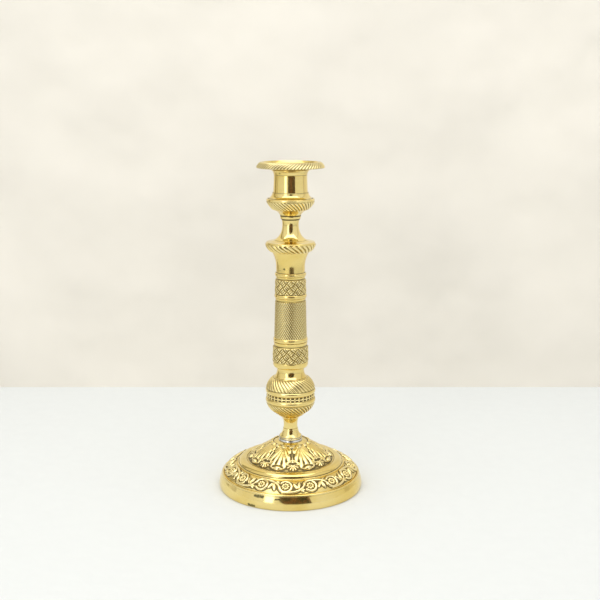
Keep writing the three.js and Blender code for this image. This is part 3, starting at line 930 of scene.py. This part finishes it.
def build_socket():
    low, height, radius = measure("socket_collar")
    collar = Path(STEM_CORE, 0, above=low).line((radius - 0.7, 0)).seam(*COLLAR_SEAM)
    collar.line((radius - 0.5, 0.2)).curve((radius + 0.1, 1.4), (radius, height - 0.2))
    collar.line((radius - 0.2, height)).seam(*COLLAR_SEAM).line((STEM_CORE, height))
    turned("collar_ring", collar, [POLISHED], "socket_collar")

    low, height, radius = measure("socket_bowl")
    bowl = Path(STEM_CORE, 0, above=low).line((8.7, 0)).seam(*COLLAR_SEAM).line((9.0, 0.2))
    bowl.curve((11.0, 3.9), (15.0, 5.1)).line((15.3, 5.4))
    bowl.into("flutes").curve((19.4, 9.3), (radius - 0.2, 12.9))
    bowl.into(PLAIN).line((radius, 13.4)).curve((radius, 14.7), (radius - 0.9, 15.1))
    # The broad faint dark line inside the brim is painted shade for the dark crescent in the cove above
    # it.
    bowl.line((radius - 1.4, 15.0)).seam(0.2, 0.9).curve((16.4, 16.1), (15.6, height)).seam(0.5)
    bowl.into(INNER).line((SOCKET_BORE, height), (SOCKET_BORE, 11.5), (STEM_CORE, 11.5))
    bowl_flutes = flutes(37, twist=23.5, height=0.5, sharpness=1.2, ends=0.6)
    turned("bowl_cup", bowl, [POLISHED, CHASED], "socket_bowl", columns=592,
           reliefs={"flutes": Chasing(bowl_flutes, 0.8, 0.65)}, slot="chased_brass")

    low, height, radius = measure("socket_barrel")
    lip = height - 4.3
    barrel = Path(SOCKET_BORE, 0, above=low).line((15.3, 0)).seam(0.5).line((15.5, 0.3))
    barrel.curve((14.7, 14.65), (14.5, 20.65)).line((14.5, lip - 0.3))
    barrel.line((14.3, lip), (14.6, lip + 0.3)).curve((14.9, lip + 2.7), (radius - 0.1, lip + 3.7))
    barrel.line((radius - 0.2, height), (SOCKET_BORE, height))
    turned("socket_cup", barrel, [POLISHED], "socket_barrel")


def build_drip_pan():
    low, height, radius = measure("drip_pan")
    pan = Path(SOCKET_BORE, 0.1, above=low).line((17, 0.2)).curve((24, 0.9), (28.6, 1.5))
    pan.line((29.1, 1.7)).into("rope").line((29.2, 2.1)).curve((28.4, 4.8), (25.5, height - 0.4))
    pan.into(PLAIN).curve((24.7, height), (24.3, height - 0.6)).curve((23.6, 4.1), (21, 3.5))
    pan.line((15, 2.1), (SOCKET_BORE, 2.0))
    rope = flutes(62, twist=-13, height=0.55, sharpness=1.4, ends=0.35)
    turned("pan_dish", pan, [POLISHED, CHASED], "drip_pan", columns=744,
           reliefs={"rope": Chasing(rope, 0.9, 1.5)}, body="drip_pan")

    low, height, radius = measure("drip_pan_sleeve")
    inner, outer = 11.4, 12.05
    sleeve = Path(inner, 0, above=low).line((outer, 0), (outer, height - 0.8))
    sleeve.line((13.9, height - 0.6), (radius, height - 0.2))
    sleeve.curve((13.8, height), (13.0, height)).curve((11.6, height), (inner, height - 1.4))
    turned("candle_sleeve", sleeve, [POLISHED], "drip_pan_sleeve", body="drip_pan")


# ------------------------------------------------------------------ the rod inside

THREAD_PITCH = 1.0
THREAD_DEPTH = 0.45


def thread(theta, s, length, r):
    """A screw thread cut into the shank."""
    wave = np.abs(((s / THREAD_PITCH - theta / TAU) % 1) * 2 - 1)
    return -THREAD_DEPTH * wave * fade(s, length, 0.5)


def hexagon(flat):
    """Six flats that far from the axis, with their corners chamfered at both ends."""
    def relief(theta, s, length, r):
        from_flat = (theta + math.pi / 2) % (TAU / 6) - TAU / 12
        side = flat / np.cos(from_flat)
        chamfer = flat + 0.6 + np.minimum(s, length - s) * 1.2
        return np.minimum(side, chamfer) - r
    return relief


def build_rod():
    low, height, radius = measure("tie_rod")
    shank = 3.0
    head = 229
    rod = Path(0, 0, above=low).line((shank - 0.5, 0), (shank, 0.5))
    rod.into("thread").line((shank, 11))
    rod.into(PLAIN).line((shank, head), (radius - 0.3, head)).curve((radius, head), (radius, head + 1.6))
    rod.curve((radius, height), (radius - 1.6, height))
    rod.line((0.9, height), (0.7, height - 0.3), (0, height - 0.3))
    turned("rod_shank", rod, [STEEL], "tie_rod", columns=96,
           reliefs={"thread": Chasing(thread, 0.4)}, slot="iron")

    low, height, radius = measure("rod_washer")
    washer = Path(ROD_HOLE, 0, above=low).line((radius, 0), (radius, height), (ROD_HOLE, height))
    turned("washer_plate", washer, [STEEL], "rod_washer", columns=96, slot="iron")

    low, height, radius = measure("rod_nut")
    flat = radius * math.cos(math.pi / 6)
    nut = Path(3.1, 0, above=low).line((flat - 0.4, 0), (flat, 0.1))
    nut.into("flats").line((flat, height - 0.1))
    nut.into(PLAIN).line((flat - 0.4, height), (3.1, height))
    turned("hex_nut", nut, [STEEL], "rod_nut", columns=144,
           reliefs={"flats": Chasing(hexagon(flat), 0.4)}, slot="iron")


build_base()
build_foot()
build_ball()
build_column()
build_capital()
build_socket()
build_drip_pan()
build_rod()

# ------------------------------------------------------------------ the setting

FLOOR_TONE = (0.725, 0.745, 0.74)
WALL_TONE = (0.885, 0.84, 0.755)
CARD_TONE = (0.025, 0.026, 0.016)
CARD_BROWN = (0.17, 0.075, 0.04)
CURTAIN_TONE = (0.36, 0.32, 0.22)

# In metres, in the frame's own axes.
ROOM_SIZE = 4.0
WALL_DISTANCE = 0.313
FIGURE_DEPTH = -1.15     # behind the camera
LAP_DEPTH = -0.75
ABOVE_FLOOR = 0.002
FIGURE_OUTLINE = [
    (-0.20, 0.0), (0.72, 0.0), (0.66, 0.55), (0.52, 0.95), (0.24, 1.0),
    (0.2, 1.25), (-0.06, 1.25), (-0.1, 1.0), (-0.34, 0.9), (-0.37, 0.3),
]

EYE_DISTANCE = 0.855
EYE_HEIGHT = 0.3414
EYE_DIP = math.radians(11.24)
LENS = 59.1              # millimetres, on a 36 mm wide sensor
SENSOR_WIDTH = 36
STICK_OFF_CENTRE = 0.0158

WINDOW_BEARING = -33     # degrees to the right of the camera, seen from the stick
WINDOW_DISTANCE = 1.25
WINDOW_HEIGHT = 0.55
HORIZON_LIGHT = (0.93, 0.93, 0.90, 1)
ZENITH_LIGHT = (1.0, 1.0, 1.0, 1)


def one_sided(name, tone, scale=9.0, mottle_and_shade=0.02, crumple=0.0):
    """A pale surface that is seen from its front only, so that a view from behind isn't blocked. Its
    darker patches are an uneven tone, and on the hung cloth also painted shade of its folds.
    """
    sh = Shader(name)
    place = sh.place()
    mottle_and_shade_mask = sh.noise(place, scale, 4)
    darker = tuple(c * (1 - mottle_and_shade) for c in tone)
    folds = sh.bump(sh.noise(place, scale, 3, 0.4), crumple)
    sh.set(Base_Color=sh.mix(mottle_and_shade_mask, tone, darker), Roughness=sh.remap(mottle_and_shade_mask, 0, 1, 0.8, 0.9), Normal=folds)
    clear = sh.node("BsdfTransparent").outputs[0]
    back = sh.node("NewGeometry").outputs["Backfacing"]
    cover = sh.node("MixShader", {0: back, 1: sh.out.outputs[0], 2: clear})
    sh.tree.links.new(cover.outputs[0], sh.tree.nodes["Material Output"].inputs["Surface"])
    return sh.material


def sheet(name, corners, material, faces=None):
    mesh = bpy.data.meshes.new(name)
    mesh.from_pydata(corners, [], faces or [list(range(len(corners)))])
    mesh.materials.append(material)
    made = bpy.data.objects.new(name, mesh)
    bpy.context.scene.collection.objects.link(made)
    return made


def upright(name, y, left, right, top, material):
    """A sheet that stands on the floor and faces the camera."""
    return sheet(name, [(left, y, 0), (right, y, 0), (right, y, top), (left, y, top)], material)


def dark_cloth():
    """What stands behind the camera: dark, with brown and a few paler folds across it."""
    sh = Shader("dark_cloth")
    place = sh.place()
    tall = sh.stretched(place, (9.0, 9.0, 1.5))
    across = sh.stretched(place, (6.0, 6.0, 90.0))
    body = sh.mix(sh.remap(sh.noise(tall, 1.0, 2), 0.5, 0.6), CARD_TONE, CARD_BROWN)
    pale = sh.remap(sh.noise(across, 1.0, 4), 0.52, 0.72, 0, 0.7)
    return sh.set(Base_Color=sh.mix(pale, body, CURTAIN_TONE), Roughness=0.9)


def build_floor(far):
    """A round floor, open under the hollow base so that light from below reaches inside it."""
    count = 96
    opening = (BASE_RADIUS - 2) * MM
    around = [TAU * k / count for k in range(count)]
    corners = [
        (radius * math.sin(a), -radius * math.cos(a), 0)
        for radius in (opening, far)
        for a in around
    ]
    faces = [(k, count + k, count + (k + 1) % count, (k + 1) % count) for k in range(count)]
    plaster = one_sided("plaster", FLOOR_TONE, scale=70.0, mottle_and_shade=0.03, crumple=0.0006)
    sheet("floor", corners, plaster, faces)


def build_setting():
    """Floor and wall, and what only the brass sees: a dark figure, its lap and a curtain."""
    build_floor(ROOM_SIZE)
    # The hung cloth's strong mottle is painted shade of its folds over an uneven tone.
    hung_cloth = one_sided("hung_cloth", WALL_TONE, scale=5.0, mottle_and_shade=0.22, crumple=0.03)
    upright("wall", WALL_DISTANCE, -ROOM_SIZE, ROOM_SIZE, ROOM_SIZE, hung_cloth)

    cloth = dark_cloth()
    figure = [(x, FIGURE_DEPTH, z) for x, z in FIGURE_OUTLINE]
    lap = [
        (-0.16, FIGURE_DEPTH, ABOVE_FLOOR),
        (0.6, FIGURE_DEPTH, ABOVE_FLOOR),
        (0.36, LAP_DEPTH, ABOVE_FLOOR),
        (-0.06, LAP_DEPTH, ABOVE_FLOOR),
    ]
    curtain = one_sided("curtain", CURTAIN_TONE)
    reflected = [
        sheet("dark_figure", figure, cloth),
        sheet("dark_lap", lap, cloth),
        upright("curtain_left", WALL_DISTANCE - 0.02, -0.75, -0.37, 1.4, curtain),
    ]
    for piece in reflected:
        piece.visible_camera = False
        piece.visible_diffuse = False
        piece.visible_shadow = False


def area_light(name, place, target, width, height, radiance):
    data = bpy.data.lights.new(name, "AREA")
    data.shape = "RECTANGLE"
    data.size, data.size_y = width, height
    data.energy = radiance * math.pi * width * height
    lamp = bpy.data.objects.new(name, data)
    bpy.context.scene.collection.objects.link(lamp)
    lamp.location = place
    lamp.rotation_mode = "QUATERNION"
    lamp.rotation_quaternion = (Vector(place) - Vector(target)).to_track_quat("Z", "Y")
    return lamp


def round_the_stick(bearing, distance, height):
    """A place seen at that bearing from the stick, in degrees to the right of the camera."""
    a = math.radians(bearing)
    return (distance * math.sin(a), -distance * math.cos(a), height)


def build_lights():
    middle = (0, 0, 0.15)
    window = round_the_stick(WINDOW_BEARING, WINDOW_DISTANCE, WINDOW_HEIGHT)
    area_light("window_left", window, middle, width=0.32, height=1.1, radiance=1.7)
    area_light("ceiling", (0.0, -0.30, 1.3), middle, width=1.5, height=1.1, radiance=1.7)
    build_sky()


def build_sky():
    """Even light from all round, a little dimmer near the horizon."""

    world = bpy.data.worlds.new("studio")
    world.use_nodes = True
    bpy.context.scene.world = world
    nodes, links = world.node_tree.nodes, world.node_tree.links
    background = nodes["Background"]
    ramp = nodes.new("ShaderNodeValToRGB")
    parts = nodes.new("ShaderNodeSeparateXYZ")
    coords = nodes.new("ShaderNodeTexCoord")
    links.new(coords.outputs["Generated"], parts.inputs["Vector"])
    links.new(parts.outputs["Z"], ramp.inputs["Fac"])
    links.new(ramp.outputs["Color"], background.inputs["Color"])
    ramp.color_ramp.elements[0].color = HORIZON_LIGHT
    ramp.color_ramp.elements[1].color = ZENITH_LIGHT
    background.inputs["Strength"].default_value = 0.95


def build_camera():
    data = bpy.data.cameras.new("camera")
    data.lens = LENS
    data.sensor_width = SENSOR_WIDTH
    data.shift_x = STICK_OFF_CENTRE
    data.clip_start, data.clip_end = 0.01, 50
    camera = bpy.data.objects.new("camera", data)
    bpy.context.scene.collection.objects.link(camera)
    camera.location = (0, -EYE_DISTANCE, EYE_HEIGHT)
    camera.rotation_euler = (math.pi / 2 - EYE_DIP, 0, 0)
    bpy.context.scene.camera = camera


build_setting()
build_lights()
build_camera()
bpy.context.scene.view_settings.view_transform = "Standard"
